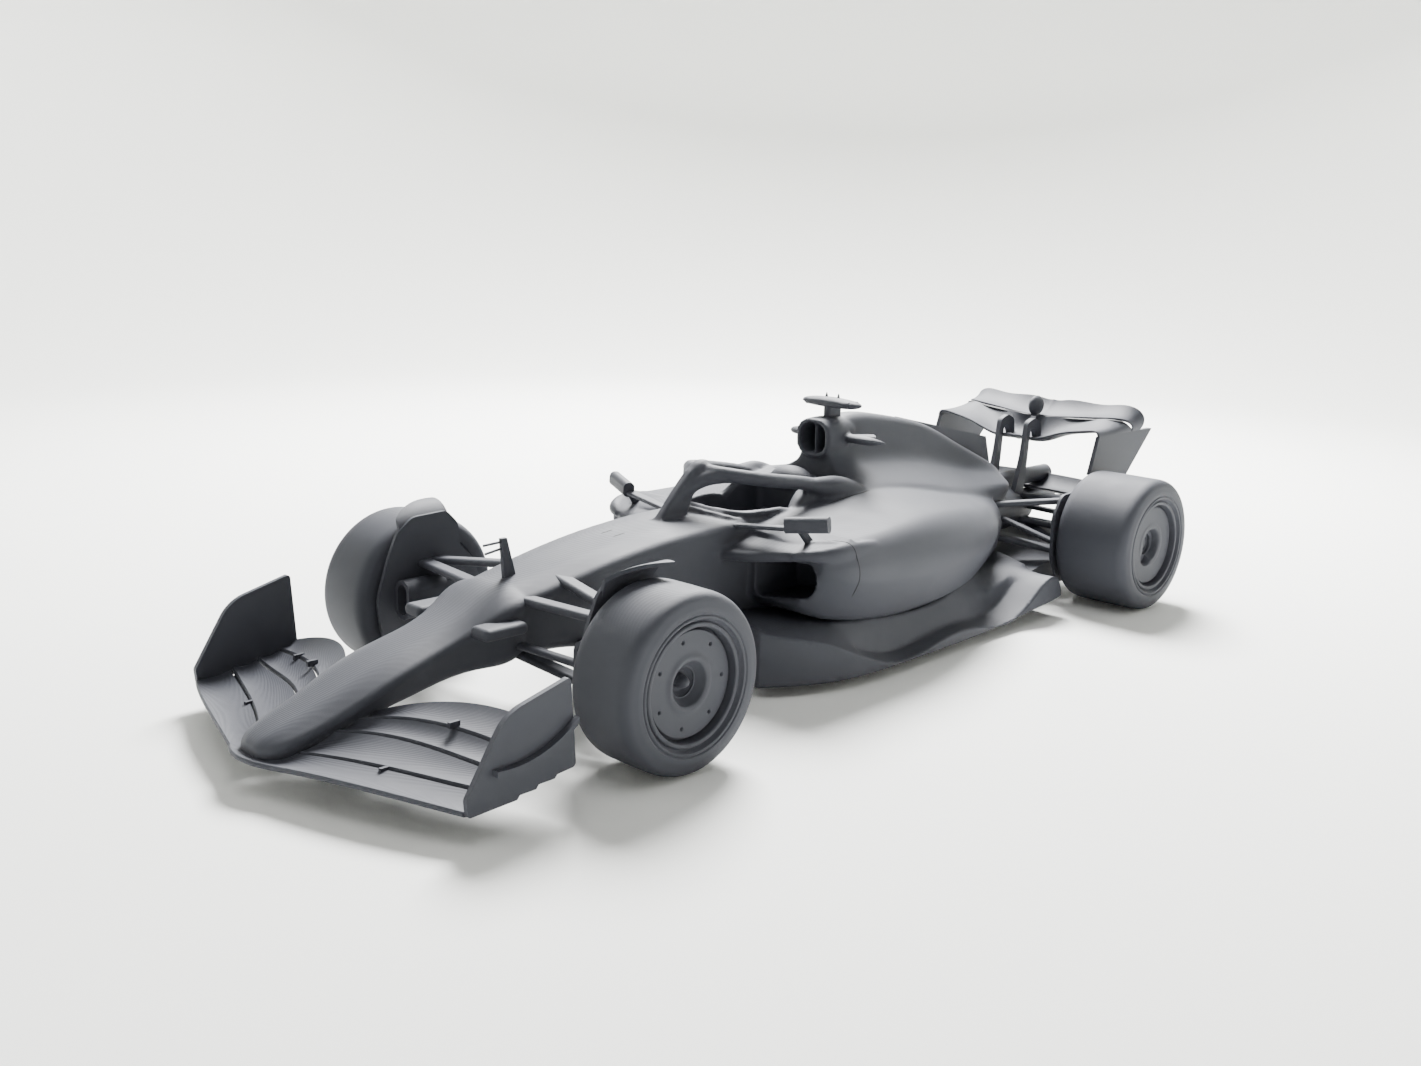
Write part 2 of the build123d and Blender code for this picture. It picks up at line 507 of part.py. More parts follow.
# Rear wing elements, left half: place across the car, height, turn down into the endplate,
# then leading edge, middle and trailing edge as place along the car and rise
ROLL_END_X = REAR_WING_HALF_SPAN + REAR_ENDPLATE
ROLL_END_Z = 49.4
REAR_MAIN = [
    (0.0, 50.0, 0, (203.0, -3.4), (209.0, -3.8), (216.0, 1.4)),
    (3.0, 50.0, 0, (203.0, -3.3), (209.0, -3.7), (216.0, 1.4)),
    (14.0, 50.0, 0, (203.4, -1.6), (209.4, -1.6), (216.4, 2.3)),
    (22.0, 50.0, 0, (204.0, 0.4), (210.0, 0.8), (217.0, 3.0)),
    (27.0, 50.0, 0, (204.2, 1.2), (210.8, 1.6), (218.4, 3.2)),
    (ROLL_END_X - 0.8, 51.0, 45, (203.9, 0.0), (212.6, 0.1), (221.4, 1.0)),
    (ROLL_END_X, ROLL_END_Z, 90, (203.8, 0.0), (213.6, 0.0), (223.4, 0.0)),
]
REAR_FLAP = [
    (0.0, 50.0, 0, (216.9, 2.0), (221.8, 2.8), (226.4, 6.2)),
    (3.0, 50.0, 0, (216.9, 2.0), (221.8, 2.8), (226.4, 6.2)),
    (14.0, 50.0, 0, (217.3, 2.9), (222.2, 3.6), (226.8, 6.5)),
    (22.0, 50.0, 0, (217.9, 3.6), (222.6, 4.3), (227.2, 6.8)),
    (27.0, 50.0, 0, (219.3, 3.8), (223.6, 4.6), (227.8, 7.0)),
    (ROLL_END_X - 0.6, 52.4, 20, (222.3, 0.6), (225.6, 1.4), (228.8, 3.0)),
    (ROLL_END_X, ROLL_END_Z, 90, (224.3, 0.0), (226.8, 0.0), (229.4, 0.0)),
]


def rear_element(stations, thickness):
    """Curved plate through the stations of a rear wing element."""
    plates = []
    for x, z, turn, lead, middle, trail in stations:
        lead, middle, trail = in_place([lead, middle, trail])
        frame = Location((x, 0, z)) * Location((0, 0, 0), (0, turn, 0)) * Location(Plane.YZ)
        top = ThreePointArc(lead, (middle[0], middle[1] - 0.02), trail)
        rear = Line(trail, (trail[0], trail[1] - 0.6))
        low = ThreePointArc((trail[0], trail[1] - 0.6), (middle[0], middle[1] - thickness), (lead[0], lead[1] - 0.8))
        front = ThreePointArc((lead[0], lead[1] - 0.8), (lead[0] - 0.4, lead[1] - 0.4), lead)
        plates.append(frame * make_face([top, rear, low, front]))
    return loft(plates)


rear_main = rear_element(REAR_MAIN, 1.5)
rear_flap = rear_element(REAR_FLAP, REAR_ENDPLATE)
nodes["rear_wing_main"] = rear_main + mirror(rear_main, about=Plane.YZ)
nodes["rear_wing_flap"] = rear_flap + mirror(rear_flap, about=Plane.YZ)
rear_plate_side = in_place([(203.8, ROLL_END_Z), (236.6, ROLL_END_Z), (TABLE_WHEELBASE + REAR_OVERHANG, 49.2),
                            (222.4, 35.0), (221.0, 16.0), (210.0, 16.0), (208.0, 35.0), (199.8, 37.9)])
rear_plate = extrude(along(REAR_WING_HALF_SPAN) * flat(rear_plate_side), REAR_ENDPLATE)
nodes["rear_wing_endplates"] = mirrored(rear_plate)
BEAM_WING = [
    (-REAR_WING_HALF_SPAN, 28.0, 0, (212.0, 0.0), (217.0, -0.4), (222.0, 3.0)),
    (0.0, 29.0, 0, (212.0, 0.0), (217.0, -0.4), (222.0, 3.0)),
    (REAR_WING_HALF_SPAN, 28.0, 0, (212.0, 0.0), (217.0, -0.4), (222.0, 3.0)),
]
nodes["beam_wing"] = rear_element(BEAM_WING, 1.2) - nodes["crash_structure"] - tailpipe

# Swan-neck pylons that hook over the main plane, and the flap's actuator pod
pylon_side = in_place([(196.0, 26.0), (201.5, 26.0), (203.0, 40.0), (203.4, 48.0), (205.6, 49.4), (207.8, 45.0),
                       (210.4, 45.0), (209.4, 50.8), (205.6, 52.4), (201.8, 51.0), (200.2, 40.0)])
pylon = extrude(along(4.2) * soft(pylon_side, [0, 0, 0.4, 0.6, 0.7, 0, 0, 0.5, 0.7, 0.6, 0.4]), 1.6)
hooks = mirrored(pylon - nodes["rear_wing_main"] - gearbox)
nodes["rear_wing_pylons"] = Compound(children=whole_solids(hooks))
actuator = Pos(at(0, 215.4, 55.0)) * scale(Sphere(1), (1.8, 3.8, 3.3))
nodes["flap_actuator"] = actuator - nodes["rear_wing_flap"] - nodes["rear_wing_main"]

# Shark fin on the engine cover
fin_side = in_place([(138.0, 52.0), (138.4, 57.8), (186.0, 47.5), (189.5, 37.4), (186.0, 35.0)])
nodes["shark_fin"] = extrude(along(-0.5) * flat(fin_side), 1.0) - cover - snout

# Cameras: a bar on a stem, two swept pods beside the intake, two pods on the nose
stem = extrude(level(58.0) * Pos(0, station(108.8)) * RectangleRounded(2.4, 6.0, 1.1), 6.0)
camera_bar = bar((-7.5, 108.4, 64.2), (7.5, 108.4, 64.2), SlotOverall(5.2, 1.9))
top_camera = (stem + camera_bar) - cover - snout
side_camera = bar((4.0, 108.0, 54.8), (10.4, 115.0, 54.8), SlotOverall(5.0, 1.8)) - cover - snout
nose_camera = Pos(at(12.2, -17.2, 25.7)) * fillet(Box(6.2, 11.8, 2.8).edges(), 1.2) - nose
camera_parts = [*top_camera.solids(), *mirrored(side_camera).solids(), *mirrored(nose_camera).solids()]
nodes["cameras"] = Compound(children=camera_parts)

# Mast on the nose seam, with its two forward probes
mast = extrude(along(-0.5) * flat([(-6.4, 31.0), (-2.6, 31.0), (-5.8, 42.4), (-7.4, 42.4)]), 1.0)
PROBE = Circle(0.3)
probes = bar((0, -6.4, 41.6), (0, -12.1, 41.4), PROBE) + bar((0, -5.6, 40.2), (0, -11.6, 39.4), PROBE)
nodes["pitot_mast"] = mast + probes - tub_whole - nose

# Mirrors: head, arm from the tub, stay from the sidepod
mirror_head = bar((28.0, 58.2, 41.2), (38.2, 62.4, 42.4), RectangleRounded(3.2, 4.0, 1.4))
mirror_arm = bar((11.0, 57.4, 38.4), (29.6, 59.4, 40.4), SlotOverall(3.2, 1.1))
mirror_stay = bar((30.2, 60.0, 41.4), (31.4, 66.0, 34.0), SlotOverall(2.4, 1.2))
mirror_left = (mirror_head + mirror_arm + mirror_stay) - nodes["tub"] - pod_left - nodes["halo"]
nodes["mirrors"] = mirrored(mirror_left)

# Front brake duct, left side: a fairing plate, a winglet that curls out over the tyre and
# a tall hollow scoop
fairing_side = [(-16.4, 21.8), (-15.4, 13.4), (-12.0, 7.0), (0.0, 4.0), (12.0, 9.0), (15.0, 20.0), (12.2, 28.3),
                (8.0, 32.0), (7.4, 38.0), (4.0, 41.4), (-6.0, 41.0), (-10.6, 37.6), (-13.4, 31.0)]
fairing = extrude(along(FRONT_PANEL_X) * soft(fairing_side, [0.5] * 13), PANEL_THICKNESS)
# Winglet: place along the car, then across and height of its middle and of its tip
WINGLET_STATIONS = [
    (-9.6, (0.9, 39.6), (1.8, 41.0)),
    (-5.0, (1.3, 41.0), (4.4, 43.0)),
    (0.0, (1.8, 41.6), (6.4, 43.6)),
    (5.0, (1.8, 41.6), (7.6, 43.4)),
]


def winglet_section(middle, tip):
    """Curled strip from the top of the fairing out over the tyre."""
    root = Vector(FRONT_PANEL_X, 36.6)
    centre = Vector(FRONT_PANEL_X + middle[0], middle[1])
    end = Vector(FRONT_PANEL_X + tip[0], tip[1])
    inner = ThreePointArc(root, centre, end)
    outer = ThreePointArc(end - Vector(0, 0.9), centre + Vector(0.6, -0.8), root + Vector(PANEL_THICKNESS, 0))
    return make_face([inner, Line(end, end - Vector(0, 0.9)), outer, Line(root + Vector(PANEL_THICKNESS, 0), root)])


winglet = loft([across(y) * winglet_section(middle, tip) for y, middle, tip in WINGLET_STATIONS])
SCOOP_WIDTH = 5.8
SCOOP_HEIGHT = 9.8
SCOOP_WALL = 1.1
scoop_place = Pos(FRONT_PANEL_X - SCOOP_WIDTH / 2, 21.8) * Rot(0, 0, 90)
scoop_shape = scoop_place * SlotOverall(SCOOP_HEIGHT, SCOOP_WIDTH)
scoop_bore = scoop_place * SlotOverall(SCOOP_HEIGHT - 2 * SCOOP_WALL, SCOOP_WIDTH - 2 * SCOOP_WALL)
scoop = extrude(across(-11.4) * scoop_shape, -11.4) - extrude(across(-12.0) * scoop_bore, -9.0)
front_duct = fairing + winglet + scoop

# Rear brake duct plate
duct_side = in_place([(180.4, 14.0), (179.8, 27.0), (184.0, 33.4), (203.0, 34.0), (206.4, 26.0), (206.4, 12.0),
                      (200.0, 7.0), (184.0, 8.0)])
rear_duct = extrude(along(REAR_PANEL_X) * soft(duct_side, [0.5] * 8), PANEL_THICKNESS)
nodes["brake_ducts"] = Compound(children=[*mirrored(front_duct).solids(), *mirrored(rear_duct).solids()])

# Suspension members on the left: node, inner end, outer end
ARM = SlotOverall(ARM_WIDTH, ARM_THICKNESS)
ROD = SlotOverall(ROD_WIDTH, ROD_THICKNESS)
SUSPENSION = [
    ("upper_wishbones", ARM, (7.0, -8.4, 30.4), (FRONT_PANEL_X, -2.4, 29.2)),
    ("upper_wishbones", ARM, (7.0, 3.4, 33.4), (FRONT_PANEL_X, 0.6, 29.4)),
    ("lower_wishbones", ARM, (6.0, -8.6, 18.0), (FRONT_PANEL_X, -1.5, 12.0)),
    ("lower_wishbones", ARM, (6.0, 10.0, 18.0), (FRONT_PANEL_X, 1.5, 12.0)),
    ("track_rods", ROD, (6.0, -10.4, 20.4), (FRONT_PANEL_X - SCOOP_WIDTH + 0.3, -8.4, 20.0)),
    ("pushrods", ROD, (9.0, 9.0, 31.8), (FRONT_PANEL_X, 5.4, 16.0)),
    ("upper_wishbones", ARM, (8.0, 171.6, 28.2), (REAR_PANEL_X, 190.0, 31.0)),
    ("upper_wishbones", ARM, (5.0, 202.6, 27.0), (REAR_PANEL_X, 195.0, 31.0)),
    ("lower_wishbones", ARM, (7.0, 178.0, 18.4), (REAR_PANEL_X, 190.0, 14.5)),
    ("lower_wishbones", ARM, (5.0, 203.0, 20.0), (REAR_PANEL_X, 195.0, 14.5)),
    ("track_rods", ROD, (5.0, 203.6, 23.8), (REAR_PANEL_X, 203.6, 23.2)),
    ("pushrods", ROD, (6.0, 183.0, 24.0), (REAR_PANEL_X, 186.0, 17.6)),
]
members = {}
for number, (name, section, inner, outer) in enumerate(SUSPENSION):
    key = (name, number < 6)
    member = bar(inner, outer, section)
    members[key] = members[key] + member if key in members else member
pieces = {}
for (name, at_front), group in members.items():
    solids = group - nose - tub_whole - front_duct if at_front else group - gearbox - cover - rear_duct - pylon
    pieces.setdefault(name, []).extend(whole_solids(mirrored(solids)))
for name, solids in pieces.items():
    nodes[name] = Compound(children=solids)
shaft = Pos(0, REAR_AXLE_Y, TYRE_RADIUS) * extrude(Plane.YZ.offset(4.0) * Circle(SHAFT_DIAMETER / 2), REAR_PANEL_X - 4.0)
nodes["driveshafts"] = mirrored(shaft - gearbox)

os.makedirs("parts", exist_ok=True)
for name, piece in nodes.items():
    export_step(Pos(0, -CENTRE_Y, 0) * piece, "parts/" + name + ".step")
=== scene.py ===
import math

import bmesh
import bpy
import numpy as np
from bpy.props import FloatProperty, FloatVectorProperty, IntProperty
from mathutils import Matrix, Vector
from mathutils.bvhtree import BVHTree


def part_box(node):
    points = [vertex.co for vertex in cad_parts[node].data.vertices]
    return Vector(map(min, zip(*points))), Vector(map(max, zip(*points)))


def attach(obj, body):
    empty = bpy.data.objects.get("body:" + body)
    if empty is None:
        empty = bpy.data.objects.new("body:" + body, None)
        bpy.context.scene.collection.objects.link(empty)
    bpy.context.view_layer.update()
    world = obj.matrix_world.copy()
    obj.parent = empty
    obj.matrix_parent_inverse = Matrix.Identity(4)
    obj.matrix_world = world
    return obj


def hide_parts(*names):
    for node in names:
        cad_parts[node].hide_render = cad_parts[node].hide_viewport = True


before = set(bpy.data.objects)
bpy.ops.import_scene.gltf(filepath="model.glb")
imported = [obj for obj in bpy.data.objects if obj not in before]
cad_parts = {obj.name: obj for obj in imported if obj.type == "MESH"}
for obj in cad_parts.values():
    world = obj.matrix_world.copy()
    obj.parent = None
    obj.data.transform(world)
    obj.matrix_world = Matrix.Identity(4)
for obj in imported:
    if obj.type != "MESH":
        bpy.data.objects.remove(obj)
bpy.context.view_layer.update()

MM = 0.001

bl_info = {
    "name": "Open Wheel Racing Car Model",
    "version": (1, 0, 0),
    "blender": (4, 5, 0),
    "location": "View3D > Sidebar > Racing Car",
    "description": "Dresses the display model of an open wheel racing car",
    "category": "Object",
}

# Axle frame of the model: the front axle stands this far ahead of the origin, in millimetres
FRONT_AXLE_BACK = 82.1
AXLE_ORIGIN = (0, FRONT_AXLE_BACK, 0)
BODY = "chassis"
# Vertices closer than this are one vertex, in millimetres: in a new piece, in copies of nodes
PIECE_DOUBLES = 0.002
CAD_DOUBLES = 0.001

# Wheels: name, side, width of the tyre in millimetres
WHEELS = [
    ("front_left", 1, 18.0),
    ("front_right", -1, 18.0),
    ("rear_left", 1, 24.0),
    ("rear_right", -1, 24.0),
]
TYRE_RADIUS = 20.0
RIM_RADIUS = 13.6
# The tyres' outer faces stand this far from the middle of the car
TYRE_FACE = 55.6
# The rim's face lies this far inside the tyre's, and the cover this far inside the rim's
RIM_INSET = 0.8
COVER_INSET = 1.4

# Limbs that run into the printed body: x, y, z, half width, half height in the axle frame
HALO_HUMP = [
    (0.0, 52.4, 49.2, 0.3, 0.3), (0.0, 54.0, 51.0, 1.7, 1.2), (0.0, 56.6, 52.2, 2.0, 1.5),
    (0.0, 59.6, 51.8, 1.6, 1.2), (0.0, 61.4, 50.9, 0.3, 0.3)]
HALO_GUSSET = [
    (0.2, 47.0, 42.4, 1.0, 1.0), (0.7, 50.6, 46.0, 1.3, 1.5), (2.4, 55.0, 48.8, 1.7, 1.9),
    (5.6, 58.8, 49.9, 1.8, 1.9), (9.6, 64.0, 49.5, 1.5, 1.5), (11.6, 69.0, 48.8, 1.0, 1.0)]
HALO_TAIL = [
    (12.9, 84.0, 45.9, 1.6, 1.6), (13.7, 88.6, 45.0, 2.2, 2.6), (14.4, 93.0, 44.2, 2.6, 3.3),
    (15.0, 98.0, 43.4, 2.3, 2.9), (15.6, 103.0, 42.6, 1.4, 1.7), (16.0, 107.5, 42.0, 0.3, 0.3)]
POD_SHOULDER = [
    (31.0, 57.0, 34.2, 0.8, 0.8), (34.6, 59.4, 34.5, 1.4, 1.4), (37.8, 62.8, 34.6, 1.8, 2.1),
    (39.3, 67.0, 34.5, 2.0, 2.9), (39.8, 74.0, 34.0, 1.8, 3.2), (39.2, 82.0, 33.4, 1.4, 2.6),
    (38.0, 92.0, 32.4, 0.6, 1.2)]
COCKPIT_LIP = [
    (-11.4, 60.6, 39.4, 0.5, 0.5), (-9.6, 57.4, 39.9, 0.8, 0.8), (-5.0, 55.7, 40.4, 0.9, 0.95),
    (0.0, 55.2, 40.6, 0.9, 1.0), (5.0, 55.7, 40.4, 0.9, 0.95), (9.6, 57.4, 39.9, 0.8, 0.8),
    (11.4, 60.6, 39.4, 0.5, 0.5)]
COCKPIT_RAIL = [
    (2.0, 60.2, 40.6, 0.7, 0.7), (8.0, 60.6, 40.6, 0.8, 0.8), (11.2, 62.6, 40.5, 0.9, 0.8),
    (12.1, 68.0, 40.5, 0.9, 0.8), (12.1, 74.0, 40.4, 0.9, 0.7), (11.9, 79.0, 39.8, 0.3, 0.3)]
MIRROR_FOOT = [
    (31.0, 63.4, 36.4, 0.9, 0.9), (32.6, 64.9, 36.4, 1.0, 0.8), (35.0, 66.0, 36.9, 0.9, 0.6),
    (38.2, 67.0, 37.3, 0.3, 0.3)]
SIDE_CAMERA = [
    (4.6, 109.0, 54.9, 1.4, 1.2), (7.4, 108.8, 55.0, 2.1, 1.2), (10.6, 108.9, 55.0, 2.5, 1.2),
    (13.4, 109.8, 54.8, 2.0, 1.1), (15.6, 111.2, 54.6, 0.9, 0.6), (16.6, 112.2, 54.5, 0.2, 0.2)]
TOP_CAMERA = [
    (-10.4, 108.8, 64.2, 0.2, 0.2), (-9.4, 108.6, 64.2, 1.5, 0.7), (-7.2, 108.4, 64.2, 2.75, 1.15),
    (-3.5, 108.2, 64.3, 3.0, 1.4), (0.0, 108.2, 64.3, 3.0, 1.5), (3.5, 108.2, 64.3, 3.0, 1.4),
    (7.2, 108.4, 64.2, 2.75, 1.15), (9.4, 108.6, 64.2, 1.5, 0.7), (10.4, 108.8, 64.2, 0.2, 0.2)]
GEARBOX_FAIRING = [
    (0.0, 154.0, 24.0, 14.0, 9.0), (0.0, 168.0, 25.0, 13.0, 9.6), (0.0, 184.0, 24.6, 10.4, 8.8),
    (0.0, 200.0, 23.0, 7.8, 7.0), (0.0, 210.0, 22.4, 5.0, 5.0), (0.0, 213.0, 22.4, 1.0, 1.0)]
# Dark strips of painted shadow along the slots of the front and rear wings, where the gaps lie in shade; they are
# not run into the body: x, y, z, half width, half height in the axle frame
FRONT_SLOT_SHADOW = [
    (8.0, -61.0, 8.1, 0.4, 0.2), (12.0, -60.4, 7.9, 1.5, 0.3), (16.0, -59.4, 7.5, 1.6, 0.3),
    (25.0, -56.4, 7.2, 1.6, 0.3), (34.3, -52.6, 7.1, 1.6, 0.3), (42.0, -49.4, 7.1, 1.5, 0.3),
    (49.0, -46.6, 7.2, 0.4, 0.2)]
REAR_SLOT_SHADOW = [
    (2.5, 216.4, 51.5, 0.3, 0.2), (6.0, 216.3, 51.7, 1.1, 0.3), (12.0, 216.4, 52.0, 1.1, 0.3),
    (20.0, 217.4, 52.5, 1.1, 0.3), (25.0, 217.9, 53.0, 1.1, 0.3), (27.5, 218.9, 52.9, 1.1, 0.3),
    (29.0, 220.8, 52.3, 1.1, 0.3), (30.0, 222.6, 50.8, 0.9, 0.3), (30.3, 223.6, 49.8, 0.3, 0.2)]

# Seams and recesses of the printed body, drawn as thin dark lines of painted shadow where their grooves lie in
# shade: rough x, y, z that the surface draws to it
SEAM_SHADOWS = {
    "pod_seam_shadow": [
        (32.0, 66.0, 40.0), (38.3, 67.6, 38.2), (41.2, 69.2, 35.0), (42.3, 70.2, 29.5),
        (40.8, 71.2, 25.0), (38.2, 72.0, 22.0)],
    "fairing_seam_shadow": [
        (17.4, 86.0, 41.4), (17.4, 91.0, 41.2), (17.2, 97.0, 41.3), (17.4, 102.0, 41.9),
        (17.4, 105.5, 42.4)],
    "tub_recess_shadow": [
        (2.2, 24.8, 38.0), (2.2, 27.0, 38.2), (2.2, 29.2, 38.4)],
}


# Places of sockets on their nodes
OBJECT_COORDINATES = 3
HEIGHT = 2
MIX_SHARE, MIX_FIRST, MIX_SECOND, MIX_RESULT = 0, 6, 7, 2
DOT_VALUE = 1

# Cloth of the tent: the darker grey painted as shade on its open side, where little light comes in, and the colour
# of no light
OPEN_SIDE_SHADE = (0.16, 0.16, 0.16, 1.0)
NO_LIGHT = (0.0, 0.0, 0.0, 1.0)


class Signal:
    """A number over a surface. Sums, differences and products of signals add Math nodes."""

    def __init__(self, finish, socket):
        self.finish = finish
        self.socket = socket

    def _math(self, operation, first, second):
        return self.finish.add("ShaderNodeMath", {"operation": operation}, {0: first, 1: second})

    def __add__(self, other):
        return self._math("ADD", self, other)

    __radd__ = __add__

    def __sub__(self, other):
        return self._math("SUBTRACT", self, other)

    def __rsub__(self, other):
        return self._math("SUBTRACT", other, self)

    def __mul__(self, other):
        return self._math("MULTIPLY", self, other)

    __rmul__ = __mul__

    def __truediv__(self, other):
        return self._math("DIVIDE", self, other)

    def __rtruediv__(self, other):
        return self._math("DIVIDE", other, self)


class Finish:
    """The node tree of one material, with one method that adds a node."""

    def __init__(self, name):
        self.material = bpy.data.materials.new(name)
        self.material.use_nodes = True
        self.tree = self.material.node_tree
        self.shader = self.tree.nodes["Principled BSDF"]

    def add(self, kind, settings, sockets, output=0):
        """A node of a kind, its settings first, then the values or links of its sockets."""
        node = self.tree.nodes.new(kind)
        for name, value in settings.items():
            setattr(node, name, value)
        for key, value in sockets.items():
            if isinstance(value, Signal):
                self.tree.links.new(value.socket, node.inputs[key])
            else:
                node.inputs[key].default_value = value
        return Signal(self, node.outputs[output])

    def mix(self, share, first, second):
        """Colour that a share carries from the first colour to the second."""
        return self.add("ShaderNodeMix", {"data_type": "RGBA"}, {
            MIX_SHARE: share, MIX_FIRST: first, MIX_SECOND: second}, MIX_RESULT)

    def feed(self, name, signal):
        """Links a signal to a socket of the surface shader."""
        self.tree.links.new(signal.socket, self.shader.inputs[name])


def printed_finish(name, colour, settings, grain=1.0):
    """Matte cast or printed resin: fine level layers, a faint tooth and soft cloudy shade."""
    finish = Finish(name)
    place = finish.add("ShaderNodeTexCoord", {}, {}, OBJECT_COORDINATES)
    height = finish.add("ShaderNodeSeparateXYZ", {}, {0: place}, HEIGHT)
    cloud = finish.add("ShaderNodeTexNoise", {}, {"Vector": place, "Scale": 90.0, "Detail": 3.0}, 0)
    tooth = finish.add("ShaderNodeTexNoise", {}, {"Vector": place, "Scale": 5200.0, "Detail": 2.0}, 0)
    step = settings.layer_height * MM
    phase = height / step + cloud * 0.6
    wave = finish.add("ShaderNodeMath", {"operation": "SINE"}, {0: phase * (2 * math.pi)})
    layer = wave * 0.5 + 0.5
    light = [min(1.0, c * 1.07) for c in colour] + [1.0]
    dark = [c * 0.93 for c in colour] + [1.0]
    shade = finish.mix(cloud * 0.8 + tooth * 0.2, dark, light)
    finish.feed("Base Color", shade)
    finish.feed("Roughness", 0.56 + cloud * 0.14 * grain)
    bump = finish.add("ShaderNodeBump", {}, {
        "Strength": settings.layer_depth, "Distance": 0.045 * MM, "Height": layer * 0.7 + tooth * (0.5 * grain)})
    finish.feed("Normal", bump)
    finish.shader.inputs["Specular IOR Level"].default_value = 0.3
    return finish.material


def tent_finish(name, colour, glow, front):
    """Matte white cloth that lets a little light through where it stands up as a wall, and is painted a darker
    grey as shade on the side that the tent opens to, where little light comes in."""
    finish = Finish(name)
    place = finish.add("ShaderNodeTexCoord", {}, {}, OBJECT_COORDINATES)
    cloud = finish.add("ShaderNodeTexNoise", {}, {"Vector": place, "Scale": 6.0, "Detail": 2.0}, 0)
    light = [min(1.0, c * 1.01) for c in colour] + [1.0]
    dark = [c * 0.99 for c in colour] + [1.0]
    cloth = finish.mix(cloud, dark, light)
    height = finish.add("ShaderNodeSeparateXYZ", {}, {0: place}, HEIGHT)
    wall = finish.add("ShaderNodeMapRange", {"interpolation_type": "SMOOTHSTEP"}, {
        "Value": height, "From Min": 0.0, "From Max": 0.2})
    # Painted shade: how far a place lies on the tent's open side, where the wall is mixed towards the darker grey
    # and lets no light through
    ahead = finish.add("ShaderNodeVectorMath", {"operation": "DOT_PRODUCT"}, {0: place, 1: front}, DOT_VALUE)
    side = finish.add("ShaderNodeMapRange", {"interpolation_type": "SMOOTHSTEP"}, {
        "Value": ahead, "From Min": -0.1, "From Max": 0.45})
    shaded_cloth = finish.mix(wall * side, cloth, OPEN_SIDE_SHADE)
    finish.feed("Base Color", shaded_cloth)
    shine = finish.mix(wall * (1 - side), NO_LIGHT, light)
    finish.feed("Emission Color", shine)
    finish.shader.inputs["Emission Strength"].default_value = glow
    finish.shader.inputs["Roughness"].default_value = 0.95
    finish.shader.inputs["Specular IOR Level"].default_value = 0.1
    return finish.material


def eased(points, reach, steps=6):
    """Open path through points, each inner corner turned into a parabola that starts and
    ends at the reach from it, or at under half of a shorter side."""
    points = np.asarray(points, float)
    path = [points[:1]]
    t = np.linspace(0.0, 1.0, steps)[:, None]
    for before, corner, after in zip(points[:-2], points[1:-1], points[2:]):
        back, ahead = before - corner, after - corner
        near = min(reach, 0.48 * np.linalg.norm(back))
        far = min(reach, 0.48 * np.linalg.norm(ahead))
        start = corner + back / np.linalg.norm(back) * near
        stop = corner + ahead / np.linalg.norm(ahead) * far
        path.append((1 - t) ** 2 * start + 2 * t * (1 - t) * corner + t ** 2 * stop)
    path.append(points[-1:])
    return np.vstack(path)


def grid_faces(rows, columns, wrap_rows=False, wrap_columns=False):
    """Quads of a grid of rows and columns of vertices, closed round either way if asked."""
    last_row = rows if wrap_rows else rows - 1
    last_column = columns if wrap_columns else columns - 1
    r, c = np.meshgrid(np.arange(last_row), np.arange(last_column), indexing="ij")
    r2, c2 = (r + 1) % rows, (c + 1) % columns
    corners = [r * columns + c, r * columns + c2, r2 * columns + c2, r2 * columns + c]
    return np.stack([k.ravel() for k in corners], 1)


def packed(places):
    """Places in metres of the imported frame, from millimetres of the axle frame."""
    return (np.asarray(places, float) - AXLE_ORIGIN) * MM


def skin(name, vertices, faces, material, body):
    """Mesh object in millimetres of the axle frame, its doubles merged, faces outwards."""
    mesh = bpy.data.meshes.new(name)
    mesh.from_pydata(packed(np.reshape(vertices, (-1, 3))).tolist(), [], faces.tolist())
    work = bmesh.new()
    work.from_mesh(mesh)
    bmesh.ops.remove_doubles(work, verts=work.verts, dist=PIECE_DOUBLES * MM)
    bmesh.ops.recalc_face_normals(work, faces=work.faces)
    work.to_mesh(mesh)
    work.free()
    mesh.polygons.foreach_set("use_smooth", np.ones(len(mesh.polygons), bool))
    piece = bpy.data.objects.new(name, mesh)
    bpy.context.scene.collection.objects.link(piece)
    mesh.materials.append(material)
    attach(piece, body)
    return piece


def turned(profile, angles, centre, side):
    """Surface of revolution about X: a profile of place along the axle and radius, carried
    round the angles. The profile may also differ from angle to angle."""
    profile = np.asarray(profile, float)
    if profile.ndim == 2:
        profile = np.broadcast_to(profile, (len(angles),) + profile.shape)
    x = centre[0] + side * profile[..., 0]
    y = centre[1] + profile[..., 1] * np.cos(angles)[:, None]
    z = centre[2] + profile[..., 1] * np.sin(angles)[:, None]
    return np.stack([x, y, z], -1)


def hub_place(name, side, width):
    """Centre of a wheel in the axle frame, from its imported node."""
    low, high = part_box("tyre_" + name)
    middle = (low + high) / 2 / MM
    return (side * (TYRE_FACE - width / 2), middle.y + FRONT_AXLE_BACK, middle.z)


